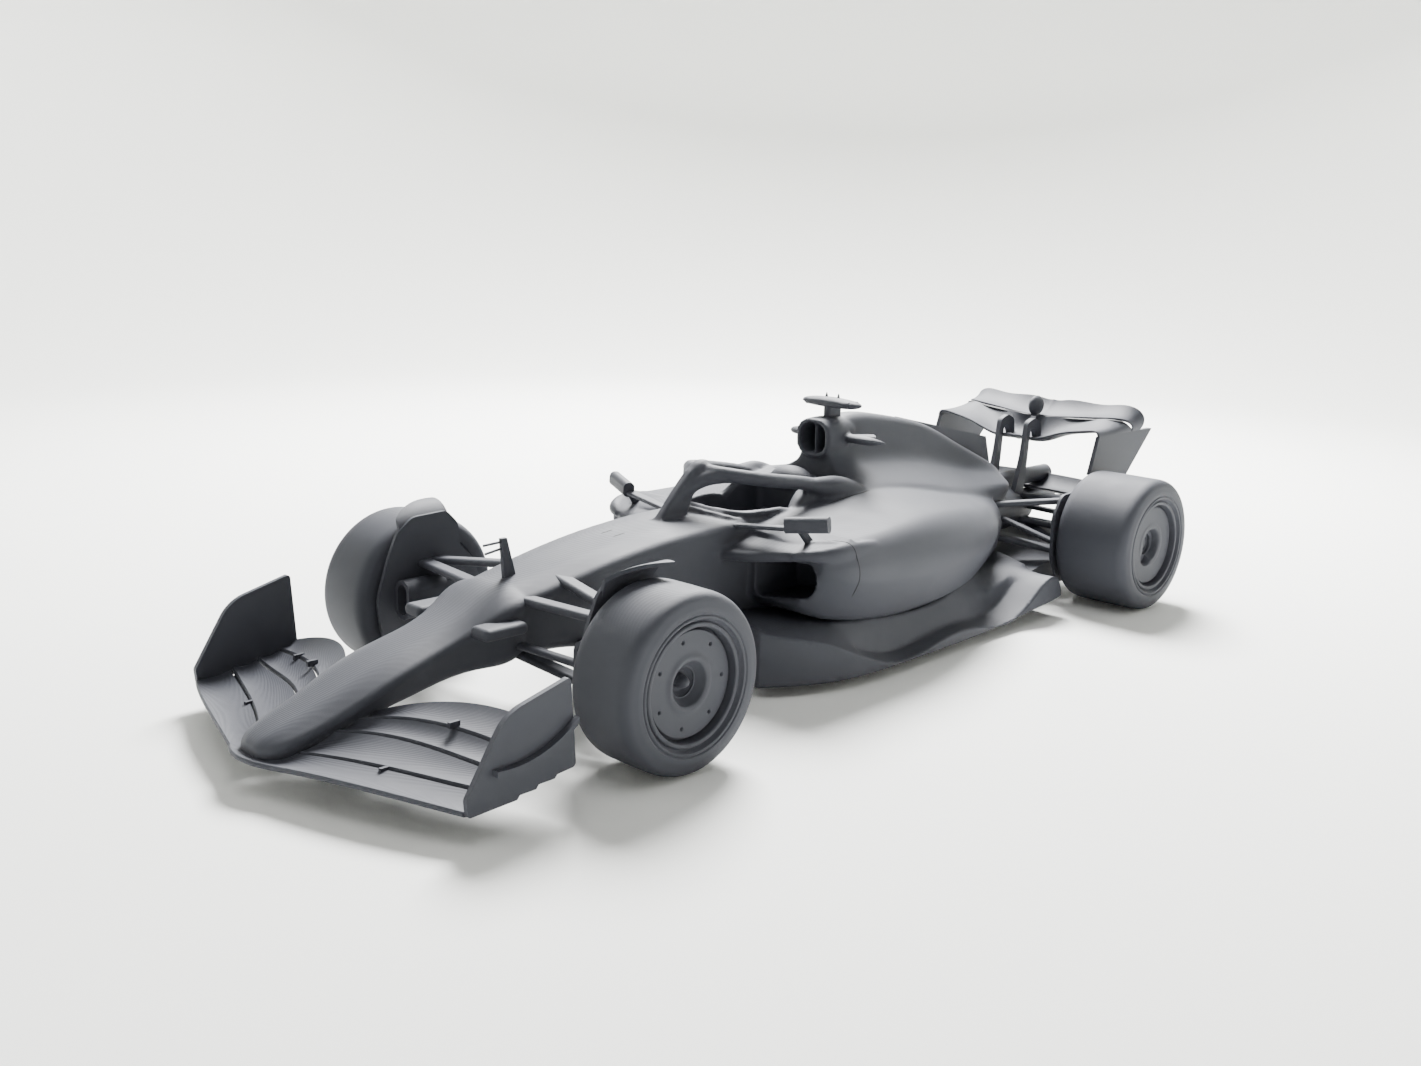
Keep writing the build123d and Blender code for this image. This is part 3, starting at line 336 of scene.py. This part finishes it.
class CAR_PG_finish(bpy.types.PropertyGroup):
    """Resin of the printed pieces."""

    body_colour: FloatVectorProperty(
        name="Body colour", description="Colour of the printed body", subtype="COLOR",
        default=(0.044, 0.0465, 0.058), min=0.0, max=1.0)
    tyre_colour: FloatVectorProperty(
        name="Tyre colour", description="Colour of the tyres", subtype="COLOR",
        default=(0.042, 0.0445, 0.056), min=0.0, max=1.0)
    layer_height: FloatProperty(
        name="Layer height", description="Height of one printed layer in millimetres", default=0.16, min=0.02)
    layer_depth: FloatProperty(
        name="Layer depth", description="Strength of the layer lines", subtype="FACTOR",
        default=0.6, min=0.0, max=1.0)


class CAR_PG_wheels(bpy.types.PropertyGroup):
    """Sizes of the wheel covers in millimetres."""

    cover_radius: FloatProperty(name="Cover radius", description="Radius of the cover disc", default=11.6)
    hole_circle: FloatProperty(name="Hole circle", description="Radius of the circle of small holes", default=9.6)
    hole_radius: FloatProperty(name="Hole radius", description="Radius of one small hole", default=0.36)
    holes: IntProperty(name="Holes", description="Number of small holes in a front cover", default=7, min=1)


class CAR_PG_blend(bpy.types.PropertyGroup):
    """How the printed body is run together, in millimetres."""

    grain: FloatProperty(name="Grain", description="Size of one grain of the body's skin", default=0.5, min=0.2)
    seam_shadow_width: FloatProperty(name="Seam width", description="Width of a seam line", default=0.34, min=0.05)
    floor_grain: FloatProperty(
        name="Floor grain", description="Longest edge of the floor's triangles", default=1.4, min=0.5)
    floor_faces: IntProperty(name="Floor faces", description="Triangles that the floor may have", default=150000)
    most_faces: IntProperty(name="Most faces", description="Triangles that the body may have", default=190000)


class CAR_PG_stage(bpy.types.PropertyGroup):
    """Light and tent."""

    key_power: FloatProperty(
        name="Top light", description="Power of the soft light above the tail", unit="POWER", default=29.0)
    fill_power: FloatProperty(
        name="Fill light", description="Power of the weaker light over the nose", unit="POWER", default=1.5)
    sky_strength: FloatProperty(name="Sky", description="Strength of the even light through the top", default=0.03)
    tent_glow: FloatProperty(name="Tent glow", description="Light that comes through the walls", default=0.2)
    tent_radius: FloatProperty(name="Tent radius", description="Radius of the tent", unit="LENGTH", default=0.82)
    tent_height: FloatProperty(name="Tent height", description="Height of the walls", unit="LENGTH", default=0.75)
    floor_colour: FloatVectorProperty(
        name="Floor colour", description="Colour of the floor", subtype="COLOR",
        default=(0.875, 0.88, 0.85), min=0.0, max=1.0)


class CAR_OT_paint(bpy.types.Operator):
    """Gives every CAD node its printed resin"""

    bl_idname = "racing_car.paint"
    bl_label = "Paint the printed nodes"

    def execute(self, context):
        settings = context.scene.racing_car_finish
        body = printed_finish("Printed resin", list(settings.body_colour), settings)
        tyre = printed_finish("Tyre resin", list(settings.tyre_colour), settings, 1.3)
        wheel = printed_finish("Wheel resin", list(settings.body_colour), settings, 0.8)
        # Dark resin at a third of the body's colour: painted shadow for the seams, recesses and wing slots
        printed_finish("Seam shadow", [c * 0.3 for c in settings.body_colour], settings)
        for name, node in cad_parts.items():
            finish = tyre if name.startswith("tyre_") else wheel if name.startswith("wheel_") else body
            node.data.materials.clear()
            node.data.materials.append(finish)
        return {"FINISHED"}


class CAR_OT_tyres(bpy.types.Operator):
    """Smooth tyres with a raised bead ring on each sidewall"""

    bl_idname = "racing_car.tyres"
    bl_label = "Build the tyres"

    def execute(self, context):
        angles = np.linspace(0, 2 * math.pi, 288, endpoint=False)
        for name, side, width in WHEELS:
            half = width / 2
            outer = [(0.0, TYRE_RADIUS), (half - 2.2, TYRE_RADIUS - 0.06), (half - 0.5, TYRE_RADIUS - 1.0),
                     (half - 0.02, TYRE_RADIUS - 3.2), (half, 16.2), (half, 15.5), (half - 0.28, 15.3),
                     (half - 0.26, 15.1), (half - 0.02, 14.9), (half - 0.02, 14.4), (half - 0.5, 14.2),
                     (half - 0.9, 13.95), (half - 1.2, RIM_RADIUS)]
            shoulder = np.vstack([eased(outer[:5], 1.5, 10), eased(outer[4:], 0.12, 4)[1:]])
            bore = [(-half + 1.4, 13.2), (half - 1.4, 13.2)]
            profile = np.vstack([shoulder[::-1], (shoulder * (-1, 1))[1:], bore])
            surface = turned(profile, angles, hub_place(name, side, width), side)
            faces = grid_faces(len(angles), len(profile), True, True)
            resin = bpy.data.materials["Tyre resin"]
            piece = skin("smooth_tyre_" + name, surface, faces, resin, "wheel_" + name)
            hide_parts("tyre_" + name)
        return {"FINISHED"}


def cover_profile(radius, width, cover_radius):
    """Place along the axle of the cover's outer face at each radius: a shallow dish with a
    soft ring round the hub, the hub's cone and the nut in it."""
    base = width / 2 - RIM_INSET - COVER_INSET
    dish = 0.25 * (radius / cover_radius) ** 2
    ring = 0.35 * np.exp(-((radius - 5.7) / 0.8) ** 2)
    cone = -3.2 * np.clip((4.9 - radius) / 2.6, 0, 1) ** 0.8
    nut = 2.9 * np.sqrt(np.clip(1 - (radius / 1.6) ** 2, 0, 1))
    return base + dish - 0.15 + ring + cone + nut


def pressed(depth, distance, edge):
    """Depth of a dent, full where the distance is below zero, fading over the edge."""
    return depth / (1 + np.exp(distance / edge))


class CAR_OT_wheels(bpy.types.Operator):
    """Wheels with dished covers, small holes, hub cones and nuts"""

    bl_idname = "racing_car.wheels"
    bl_label = "Build the wheels"

    def execute(self, context):
        sizes = context.scene.racing_car_wheels
        for name, side, width in WHEELS:
            front = name.startswith("front")
            spread = np.concatenate([
                np.linspace(-0.055, 0.055, 15), np.linspace(0.07, 2 * math.pi / sizes.holes - 0.07, 20)])
            starts = np.arange(sizes.holes) * 2 * math.pi / sizes.holes + 0.01
            angles = (starts[:, None] + spread[None]).ravel()
            radii = np.unique(np.concatenate([
                [0.003], np.linspace(0.2, 1.9, 22), np.linspace(1.9, 8.8, 44), np.linspace(8.8, 10.6, 24),
                np.linspace(10.6, sizes.cover_radius, 6)]))
            face = width / 2 - RIM_INSET
            rise = cover_profile(radii, width, sizes.cover_radius)
            rise = np.broadcast_to(rise, (len(angles), len(radii))).copy()
            if front:
                from_hole = (angles[:, None] - starts[None] + math.pi) % (2 * math.pi) - math.pi
                around = np.abs(from_hole).min(1)[:, None] * radii[None]
                distance = np.hypot(around, radii[None] - sizes.hole_circle)
                rise -= pressed(0.6, distance - sizes.hole_radius, 0.05)
            else:
                y = radii[None] * np.cos(angles)[:, None]
                z = radii[None] * np.sin(angles)[:, None]
                pit = np.hypot(y - 0.8, z - 0.4) - 3.9
                tail = np.hypot((y + 2.0) * 0.8, z + 3.4) - 2.2
                depth = pressed(2.9, np.minimum(pit, tail), 0.22)
                rise = np.minimum(rise, face - COVER_INSET + 0.1 - depth)
            edge = [
                (face - 2.4, sizes.cover_radius + 0.02), (face - 2.6, sizes.cover_radius + 0.3),
                (face - 2.6, RIM_RADIUS - 1.25), (face - 0.1, RIM_RADIUS - 1.15),
                (face + 0.15, RIM_RADIUS - 0.95), (face + 0.18, RIM_RADIUS - 0.3),
                (face - 0.1, RIM_RADIUS), (-face, RIM_RADIUS), (-face, RIM_RADIUS - 1.1),
                (face - 3.4, RIM_RADIUS - 1.3), (face - 3.4, 3.2), (face - 6.3, 3.2),
                (face - 6.3, 1.65), (face - 3.9, 1.65), (face - 3.9, 0.003)]
            rim = eased(edge, 0.14, 4)
            disc = np.stack([rise, np.broadcast_to(radii, rise.shape)], -1)
            profile = np.concatenate([disc, np.broadcast_to(rim, (len(angles),) + rim.shape)], 1)
            surface = turned(profile, angles, hub_place(name, side, width), side)
            faces = grid_faces(len(angles), profile.shape[1], True, False)
            resin = bpy.data.materials["Wheel resin"]
            piece = skin("dished_wheel_" + name, surface, faces, resin, "wheel_" + name)
            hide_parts("wheel_" + name)
        return {"FINISHED"}


def flowing(rows, steps=10):
    """Rows joined by cubics: each leaves a row with half the step from the row before it to
    the row after it, in every column."""
    rows = np.asarray(rows, float)
    rows = np.vstack([2 * rows[0] - rows[1], rows, 2 * rows[-1] - rows[-2]])
    before, start, stop, after = rows[:-3, None], rows[1:-2, None], rows[2:-1, None], rows[3:, None]
    t = np.linspace(0, 1, steps, endpoint=False)[None, :, None]
    leave, arrive = (stop - before) / 2, (after - start) / 2
    cubic = start + t * leave + t ** 2 * (3 * (stop - start) - 2 * leave - arrive) + t ** 3 * (
        leave + arrive - 2 * (stop - start))
    return np.vstack([cubic.reshape(-1, rows.shape[1]), rows[-2:-1]])


def limb(rows, sides=24, steps=10):
    """Closed limb along flowing rows of x, y, z, half width and half height. Each ring is an
    ellipse: its level axis is the path's direction crossed with up, the other stands on both."""
    rows = flowing(rows, steps)
    path, half = rows[:, :3], np.abs(rows[:, 3:5])
    way = np.gradient(path, axis=0)
    way /= np.linalg.norm(way, axis=1, keepdims=True)
    level = np.cross(way, (0.0, 0.0, 1.0))
    level /= np.linalg.norm(level, axis=1, keepdims=True)
    rise = np.cross(level, way)
    angles = np.linspace(0, 2 * math.pi, sides, endpoint=False)
    rings = (path[:, None] + level[:, None] * (half[:, 0, None] * np.cos(angles))[..., None]
             + rise[:, None] * (half[:, 1, None] * np.sin(angles))[..., None])
    rings = np.concatenate([np.repeat(path[:1, None], sides, 1), rings, np.repeat(path[-1:, None], sides, 1)])
    return rings, grid_faces(len(rings), sides, False, True)


def mirrored(rows):
    """Rows of a limb on the left, and the same rows on the right."""
    rows = np.asarray(rows, float)
    return [rows, rows * ([-1] + [1] * (rows.shape[1] - 1))]


def run_together(name, nodes, limbs, grain):
    """One closed skin round copies of CAD nodes and limbs: their doubles merged, then
    wrapped in an even grid of quads, so that parts that touch become one printed form."""
    work = bmesh.new()
    for node in nodes:
        work.from_mesh(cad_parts[node].data)
    for rows in limbs:
        rings, faces = limb(rows)
        part = bpy.data.meshes.new("limb")
        part.from_pydata(packed(rings.reshape(-1, 3)).tolist(), [], faces.tolist())
        work.from_mesh(part)
        bpy.data.meshes.remove(part)
    bmesh.ops.remove_doubles(work, verts=work.verts, dist=CAD_DOUBLES * MM)
    mesh = bpy.data.meshes.new(name)
    work.to_mesh(mesh)
    work.free()
    return modified(name, mesh, "REMESH", {"mode": "VOXEL", "voxel_size": grain * MM})


def modified(name, mesh, kind, settings):
    """The mesh that one modifier makes of a mesh."""
    holder = bpy.data.objects.new(name, mesh)
    bpy.context.scene.collection.objects.link(holder)
    modifier = holder.modifiers.new(kind, kind)
    for key, value in settings.items():
        setattr(modifier, key, value)
    graph = bpy.context.evaluated_depsgraph_get()
    result = bpy.data.meshes.new_from_object(holder.evaluated_get(graph))
    bpy.data.objects.remove(holder)
    result.name = name
    return result


def places_of(mesh):
    """Vertices of a mesh in millimetres of the axle frame."""
    flat = np.zeros(len(mesh.vertices) * 3, np.float32)
    mesh.vertices.foreach_get("co", flat)
    return flat.reshape(-1, 3).astype(float) / MM + AXLE_ORIGIN


def set_places(mesh, places):
    """Puts vertices back, from millimetres of the axle frame."""
    mesh.vertices.foreach_set("co", packed(places).astype(np.float32).ravel())
    mesh.update()


def soften(mesh, weight, rounds):
    """Moves each vertex towards the mean of its neighbours, by its weight, again and again.
    Every second round goes the other way a little more weakly, so thin forms keep their size."""
    edges = np.zeros(len(mesh.edges) * 2, np.int64)
    mesh.edges.foreach_get("vertices", edges)
    first, second = edges.reshape(-1, 2).T
    places = places_of(mesh)
    count = np.bincount(edges, minlength=len(places))[:, None]
    share = np.asarray(weight, float).reshape(-1, 1)
    for turn in range(rounds):
        mean = np.stack([
            np.bincount(first, places[second, k], len(places)) + np.bincount(second, places[first, k], len(places))
            for k in range(3)], 1) / count
        places += share * (0.6 if turn % 2 == 0 else -0.3) * (mean - places)
    set_places(mesh, places)


def bump_over(value, low, high, edge):
    """1 between low and high, falling to 0 over an edge outside them."""
    return np.clip((value - low) / edge + 1, 0, 1) * np.clip((high - value) / edge + 1, 0, 1)


# A fold of the floor above this many degrees is a sharp edge
SHARP_FOLD = 38


def softened_copy(name, node, grain):
    """Copy of a CAD node cut into small triangles, with its soft folds smoothed away. A
    vertex on a sharp edge stays where it is."""
    work = bmesh.new()
    work.from_mesh(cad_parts[node].data)
    bmesh.ops.remove_doubles(work, verts=work.verts, dist=CAD_DOUBLES * MM)
    for _ in range(5):
        long = [edge for edge in work.edges if edge.calc_length() > grain * MM]
        bmesh.ops.subdivide_edges(work, edges=long, cuts=1)
        bmesh.ops.triangulate(work, faces=[face for face in work.faces if len(face.verts) > 3])
    work.verts.ensure_lookup_table()
    free = np.ones(len(work.verts))
    for edge in work.edges:
        if len(edge.link_faces) != 2 or edge.calc_face_angle(0.0) > math.radians(SHARP_FOLD):
            free[[vertex.index for vertex in edge.verts]] = 0.0
    mesh = bpy.data.meshes.new(name)
    work.to_mesh(mesh)
    work.free()
    for _ in range(3):
        soften(mesh, free, 31)
    return mesh


# Zones of the body in millimetres, each with the width of its edge: where the engine cover
# is smoothed most, along the car and in height, and where the smoothing behind the nose starts
COVER_LENGTH = (104, 166, 8)
COVER_RISE = (16, 50, 4)
BEHIND_NOSE = (34, 999, 10)


class CAR_OT_body(bpy.types.Operator):
    """Nose, tub, halo, surround, cover and sidepods as the one printed form that they are"""

    bl_idname = "racing_car.body"
    bl_label = "Run the body together"

    def execute(self, context):
        settings = context.scene.racing_car_blend
        nodes = [
            "nose_cone", "tub", "cockpit_surround", "headrest", "halo", "engine_cover",
            "sidepod_left", "sidepod_right"]
        limbs = [HALO_HUMP, COCKPIT_LIP, TOP_CAMERA, GEARBOX_FAIRING]
        for rows in (HALO_GUSSET, HALO_TAIL, POD_SHOULDER, COCKPIT_RAIL, MIRROR_FOOT, SIDE_CAMERA):
            limbs += mirrored(rows)
        mesh = run_together("printed_body", nodes, limbs, settings.grain)
        _, y, z = places_of(mesh).T
        broad = bump_over(y, *COVER_LENGTH) * bump_over(z, *COVER_RISE)
        soften(mesh, 0.35 + 0.4 * bump_over(y, *BEHIND_NOSE), 6)
        soften(mesh, broad, 26)
        piece = self.finish_skin(mesh, settings.most_faces)
        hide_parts(*nodes)
        smooth = softened_copy("printed_floor", "floor", settings.floor_grain)
        floor = self.finish_skin(smooth, settings.floor_faces)
        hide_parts("floor")
        tree = BVHTree.FromObject(piece, context.evaluated_depsgraph_get())
        # Painted shadow lines along the seams and recesses of the body
        for name, rows in SEAM_SHADOWS.items():
            for side, half in zip(("left", "right"), mirrored(rows)):
                self.draw_seam_shadow(f"{name}_{side}", half, tree, settings.seam_shadow_width / 2)
        # Dark strips of painted shadow in the wing slots, in place of the shade in their gaps
        for place, slot in (("front", FRONT_SLOT_SHADOW), ("rear", REAR_SLOT_SHADOW)):
            for side, rows in zip(("left", "right"), mirrored(slot)):
                rings, faces = limb(rows)
                dark = bpy.data.materials["Seam shadow"]
                skin(f"slot_shadow_{place}_{side}", rings, faces, dark, BODY)
        return {"FINISHED"}

    def finish_skin(self, mesh, most_faces):
        """Thins a skin to its number of triangles and puts it on the chassis."""
        faces = sum(len(face.vertices) - 2 for face in mesh.polygons)
        if faces > most_faces:
            mesh = modified(mesh.name, mesh, "DECIMATE", {"ratio": most_faces / faces})
        mesh.polygons.foreach_set("use_smooth", np.ones(len(mesh.polygons), bool))
        mesh.materials.clear()
        mesh.materials.append(bpy.data.materials["Printed resin"])
        piece = bpy.data.objects.new(mesh.name, mesh)
        bpy.context.scene.collection.objects.link(piece)
        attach(piece, BODY)
        return piece

    def draw_seam_shadow(self, name, rows, tree, radius):
        """Thin dark line of painted shadow, for the shade in a seam's groove, along rows drawn to the nearest
        place on the body.
        """
        rough = flowing(rows, 8)
        found = [tree.find_nearest(Vector(packed(place))) for place in rough]
        line = np.array([spot / MM for spot, *rest in found]) + AXLE_ORIGIN
        out = np.array([normal for spot, normal, *rest in found])
        line[1:-1] = (line[:-2] + 2 * line[1:-1] + line[2:]) / 4
        size = radius * np.minimum(1, np.linspace(0.1, 6, len(line)))
        size = np.minimum(size, size[::-1])[:, None]
        rings, faces = limb(np.hstack([line - out * radius * 0.35, size, size]), 10, 2)
        skin(name, rings, faces, bpy.data.materials["Seam shadow"], BODY)


class CAR_OT_spikes(bpy.types.Operator):
    """Two small aerials on the top camera"""

    bl_idname = "racing_car.spikes"
    bl_label = "Build the aerials"

    def execute(self, context):
        angles = np.linspace(0, 2 * math.pi, 24, endpoint=False)
        profile = eased([(0.0, 0.003), (0.0, 0.62), (1.0, 0.4), (2.0, 0.16), (2.25, 0.003)], 0.2, 4)
        for name, x in (("left", 2.1), ("right", -2.1)):
            ring = turned(profile, angles, (0, 0, 0), 1)
            surface = np.stack([ring[..., 1] * 0.7 + x, ring[..., 2] * 1.4 + 108.6, ring[..., 0] + 64.7], -1)
            faces = grid_faces(len(angles), len(profile), True, False)
            skin("aerial_" + name, surface, faces, bpy.data.materials["Printed resin"], BODY)
        return {"FINISHED"}


class CAR_OT_stage(bpy.types.Operator):
    """Round white tent with two soft lights over it, and the camera"""

    bl_idname = "racing_car.stage"
    bl_label = "Build the stage"

    def execute(self, context):
        settings = context.scene.racing_car_stage
        angles = np.linspace(0, 2 * math.pi, 96, endpoint=False)
        corner = np.linspace(0, math.pi / 2, 17)
        bend, wall = 0.22, settings.tent_radius
        profile = np.vstack([
            [(0.001, 0.0), (0.2, 0.0), (wall - bend - 0.1, 0.0)],
            np.stack([wall - bend + bend * np.sin(corner), bend - bend * np.cos(corner)], 1),
            [(wall, 0.4), (wall, settings.tent_height)]])
        mesh = bpy.data.meshes.new("tent")
        rings = np.stack([
            profile[None, :, 0] * np.cos(angles)[:, None], profile[None, :, 0] * np.sin(angles)[:, None],
            np.broadcast_to(profile[None, :, 1], (len(angles), len(profile)))], -1)
        mesh.from_pydata(rings.reshape(-1, 3).tolist(), [], grid_faces(len(angles), len(profile), True).tolist())
        mesh.polygons.foreach_set("use_smooth", np.ones(len(mesh.polygons), bool))
        tent = bpy.data.objects.new("stage_tent", mesh)
        context.scene.collection.objects.link(tent)
        front = (0.69, -0.72, 0.0)
        mesh.materials.append(tent_finish("White tent", list(settings.floor_colour), settings.tent_glow, front))
        world = bpy.data.worlds.new("Studio")
        context.scene.world = world
        world.use_nodes = True
        world.node_tree.nodes["Background"].inputs[0].default_value = (0.97, 0.985, 1.0, 1.0)
        world.node_tree.nodes["Background"].inputs[1].default_value = settings.sky_strength
        lights = [
            ("Top light", (-0.26, 0.34, 0.50), 0.32, settings.key_power),
            ("Fill light", (0.10, -0.16, 0.66), 0.5, settings.fill_power),
        ]
        for name, place, size, power in lights:
            lamp = bpy.data.lights.new(name, "AREA")
            lamp.shape = "DISK"
            lamp.size = size
            lamp.energy = power
            holder = bpy.data.objects.new(name, lamp)
            context.scene.collection.objects.link(holder)
            holder.location = place
            holder.rotation_euler = (-Vector(place)).to_track_quat("-Z", "Y").to_euler()
        self.add_camera(context)
        return {"FINISHED"}

    def add_camera(self, context):
        """Camera at the photograph's viewing angle."""
        turn, rise, roll = math.radians(43.53), math.radians(12.76), math.radians(1.70)
        back = Vector((math.sin(turn) * math.cos(rise), -math.cos(turn) * math.cos(rise), math.sin(rise)))
        right = Vector((0, 0, 1)).cross(back).normalized()
        upward = back.cross(right)
        across = math.cos(roll) * right + math.sin(roll) * upward
        upright = -math.sin(roll) * right + math.cos(roll) * upward
        camera = bpy.data.objects.new("Camera", bpy.data.cameras.new("Camera"))
        camera.data.lens = 37.18
        camera.data.sensor_width = 36.0
        camera.data.clip_start = 0.01
        pose = Matrix((across, upright, back)).transposed().to_4x4()
        pose.translation = (0.2553, -0.2897, 0.1178)
        camera.matrix_world = pose
        context.scene.collection.objects.link(camera)
        context.scene.camera = camera


OPERATORS = [CAR_OT_paint, CAR_OT_body, CAR_OT_tyres, CAR_OT_wheels, CAR_OT_spikes, CAR_OT_stage]


class CAR_PT_panel(bpy.types.Panel):
    """Racing car pieces in the sidebar"""

    bl_label = "Racing Car"
    bl_idname = "CAR_PT_panel"
    bl_space_type = "VIEW_3D"
    bl_region_type = "UI"
    bl_category = "Racing Car"

    def draw(self, context):
        for group in GROUPS:
            settings = getattr(context.scene, group)
            for name in settings.__annotations__:
                self.layout.prop(settings, name)
        for operator in OPERATORS:
            self.layout.operator(operator.bl_idname)


GROUPS = {
    "racing_car_finish": CAR_PG_finish,
    "racing_car_blend": CAR_PG_blend,
    "racing_car_wheels": CAR_PG_wheels,
    "racing_car_stage": CAR_PG_stage,
}


def register():
    """Registers the classes and hangs the settings on the scene."""
    for item in [*GROUPS.values(), *OPERATORS, CAR_PT_panel]:
        bpy.utils.register_class(item)
    for name, group in GROUPS.items():
        setattr(bpy.types.Scene, name, bpy.props.PointerProperty(type=group))


def unregister():
    """Takes the settings and classes away again."""
    for name in GROUPS:
        delattr(bpy.types.Scene, name)
    for item in [CAR_PT_panel, *reversed(OPERATORS), *GROUPS.values()]:
        bpy.utils.unregister_class(item)


def main():
    """Builds every piece."""
    register()
    for operator in OPERATORS:
        group, name = operator.bl_idname.split(".")
        getattr(getattr(bpy.ops, group), name)()


if __name__ == "__main__":
    main()
